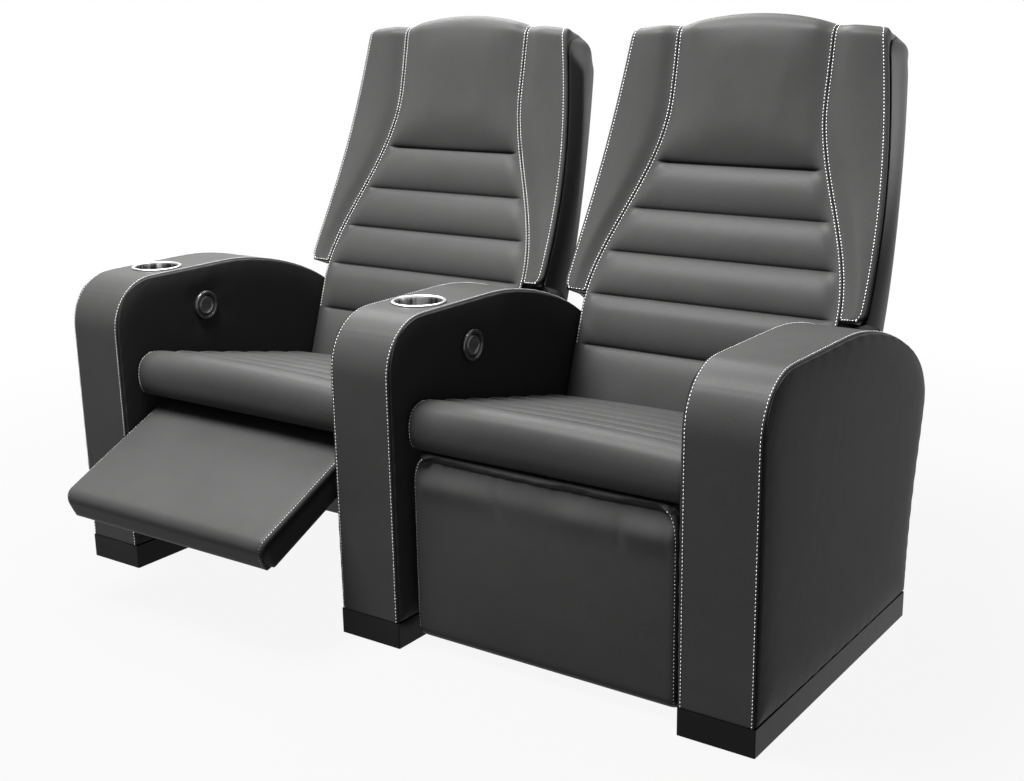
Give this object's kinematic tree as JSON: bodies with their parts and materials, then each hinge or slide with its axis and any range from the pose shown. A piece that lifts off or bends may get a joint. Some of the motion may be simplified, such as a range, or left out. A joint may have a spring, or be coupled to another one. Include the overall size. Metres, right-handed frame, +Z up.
{
  "type": "cinema recliner seat row",
  "caption": "Row of upholstered powered recliner seats that share the arm between them, with swing-out leg rests, winged channelled backs, cup holders and rocker switches.",
  "frame": {"origin": "on the floor, at the centre of the centre plinth's underside", "axes": "+X across the row, to the right of someone who faces it; +Y from the seats' front to their backs; +Z up"},
  "size_m": [1.542, 1.098, 1.0919],
  "materials": {
    "upholstery": "satin grained leatherette with stitched seams",
    "plinth_black": "glossy black laminate",
    "stainless": "brushed stainless steel",
    "black_plastic": "fine textured moulded plastic",
    "frame_steel": "black powder coat",
    "zinc_steel": "zinc plated",
    "plywood": "bare plywood",
    "grey_casting": "grey coated die casting"
  },
  "bodies": {
    "base": {"left_plinth": "plinth_black", "left_arm": "upholstery", "left_cup_holder": "stainless", "center_plinth": "plinth_black", "center_arm": "upholstery", "center_cup_holder": "stainless", "right_plinth": "plinth_black", "right_arm": "upholstery", "left_side_plate_a": "frame_steel", "left_side_plate_b": "frame_steel", "left_front_cross_tube": "frame_steel", "left_rear_cross_tube": "frame_steel", "left_seat_deck": "plywood", "left_seat_cushion": "upholstery", "left_leg_rest_shaft": "zinc_steel", "left_back_shaft": "zinc_steel", "left_control_box": "black_plastic", "left_switch_bezel": "black_plastic", "right_side_plate_a": "frame_steel", "right_side_plate_b": "frame_steel", "right_front_cross_tube": "frame_steel", "right_rear_cross_tube": "frame_steel", "right_seat_deck": "plywood", "right_seat_cushion": "upholstery", "right_leg_rest_shaft": "zinc_steel", "right_back_shaft": "zinc_steel", "right_control_box": "black_plastic", "right_switch_bezel": "black_plastic"},
    "left_leg_rest": {"left_leg_rest_pad": "upholstery", "left_leg_rest_board": "plywood", "left_leg_rest_frame": "frame_steel"},
    "left_back": {"left_back_shell": "upholstery", "left_back_middle_pad": "upholstery", "left_back_wing_a": "upholstery", "left_back_wing_b": "upholstery", "left_back_frame": "frame_steel"},
    "left_leg_rest_actuator_body": {"left_leg_rest_actuator_body": "grey_casting"},
    "left_leg_rest_actuator_rod": {"left_leg_rest_actuator_rod": "zinc_steel"},
    "left_back_actuator_body": {"left_back_actuator_body": "grey_casting"},
    "left_back_actuator_rod": {"left_back_actuator_rod": "zinc_steel"},
    "left_switch_rocker": {"left_switch_rocker": "black_plastic"},
    "right_leg_rest": {"right_leg_rest_pad": "upholstery", "right_leg_rest_board": "plywood", "right_leg_rest_frame": "frame_steel"},
    "right_back": {"right_back_shell": "upholstery", "right_back_middle_pad": "upholstery", "right_back_wing_a": "upholstery", "right_back_wing_b": "upholstery", "right_back_frame": "frame_steel"},
    "right_leg_rest_actuator_body": {"right_leg_rest_actuator_body": "grey_casting"},
    "right_leg_rest_actuator_rod": {"right_leg_rest_actuator_rod": "zinc_steel"},
    "right_back_actuator_body": {"right_back_actuator_body": "grey_casting"},
    "right_back_actuator_rod": {"right_back_actuator_rod": "zinc_steel"},
    "right_switch_rocker": {"right_switch_rocker": "black_plastic"}
  },
  "joints": [
    {"name": "left_leg_rest_hinge", "type": "hinge", "parent": "base", "child": "left_leg_rest", "pos_m": [-0.35, -0.231, 0.287], "axis": [-1, 0, 0], "range_deg": [-65, 10]},
    {"name": "left_back_hinge", "type": "hinge", "parent": "base", "child": "left_back", "pos_m": [-0.35, 0.25, 0.3], "axis": [-1, 0, 0], "range_deg": [0, 28]},
    {"name": "left_leg_rest_actuator_pivot", "type": "hinge", "parent": "base", "child": "left_leg_rest_actuator_body", "pos_m": [-0.42, 0.178, 0.175], "axis": [1, 0, 0], "range_deg": [-1.97, 0.31]},
    {"name": "left_leg_rest_actuator_slide", "type": "slide", "parent": "left_leg_rest_actuator_body", "child": "left_leg_rest_actuator_rod", "axis": [0, -0.9868, 0.1621], "range_m": [-0.0463, 0.0072]},
    {"name": "left_back_actuator_pivot", "type": "hinge", "parent": "base", "child": "left_back_actuator_body", "pos_m": [-0.28, -0.09, 0.175], "axis": [1, 0, 0], "range_deg": [0, 1.08]},
    {"name": "left_back_actuator_slide", "type": "slide", "parent": "left_back_actuator_body", "child": "left_back_actuator_rod", "axis": [0, 0.9916, 0.1295], "range_m": [-0.0382, 0]},
    {"name": "left_switch_rocker_tilt", "type": "hinge", "parent": "base", "child": "left_switch_rocker", "pos_m": [-0.629, -0.082, 0.516], "axis": [0, 1, 0], "range_deg": [-6, 6], "stiffness_Nm_per_rad": 0.04},
    {"name": "right_leg_rest_hinge", "type": "hinge", "parent": "base", "child": "right_leg_rest", "pos_m": [0.35, -0.231, 0.287], "axis": [-1, 0, 0], "range_deg": [0, 75]},
    {"name": "right_back_hinge", "type": "hinge", "parent": "base", "child": "right_back", "pos_m": [0.35, 0.25, 0.3], "axis": [-1, 0, 0], "range_deg": [0, 28]},
    {"name": "right_leg_rest_actuator_pivot", "type": "hinge", "parent": "base", "child": "right_leg_rest_actuator_body", "pos_m": [0.28, 0.178, 0.175], "axis": [1, 0, 0], "range_deg": [0, 3.25]},
    {"name": "right_leg_rest_actuator_slide", "type": "slide", "parent": "right_leg_rest_actuator_body", "child": "right_leg_rest_actuator_rod", "axis": [0, -0.9781, 0.2079], "range_m": [0, 0.0497]},
    {"name": "right_back_actuator_pivot", "type": "hinge", "parent": "base", "child": "right_back_actuator_body", "pos_m": [0.42, -0.09, 0.175], "axis": [1, 0, 0], "range_deg": [0, 1.08]},
    {"name": "right_back_actuator_slide", "type": "slide", "parent": "right_back_actuator_body", "child": "right_back_actuator_rod", "axis": [0, 0.9916, 0.1295], "range_m": [-0.0382, 0]},
    {"name": "right_switch_rocker_tilt", "type": "hinge", "parent": "base", "child": "right_switch_rocker", "pos_m": [0.071, -0.082, 0.516], "axis": [0, 1, 0], "range_deg": [-6, 6], "stiffness_Nm_per_rad": 0.04}
  ],
  "couplings": [
    {"joint": "left_leg_rest_actuator_pivot", "follows": "left_leg_rest_hinge", "ratio": 0.03012},
    {"joint": "left_leg_rest_actuator_slide", "follows": "left_leg_rest_hinge", "m_per_rad": 0.04073},
    {"joint": "left_back_actuator_pivot", "follows": "left_back_hinge", "ratio": 0.038187},
    {"joint": "left_back_actuator_slide", "follows": "left_back_hinge", "m_per_rad": -0.078097},
    {"joint": "right_leg_rest_actuator_pivot", "follows": "right_leg_rest_hinge", "ratio": 0.043204},
    {"joint": "right_leg_rest_actuator_slide", "follows": "right_leg_rest_hinge", "m_per_rad": 0.037907},
    {"joint": "right_back_actuator_pivot", "follows": "right_back_hinge", "ratio": 0.038187},
    {"joint": "right_back_actuator_slide", "follows": "right_back_hinge", "m_per_rad": -0.078097}
  ]
}
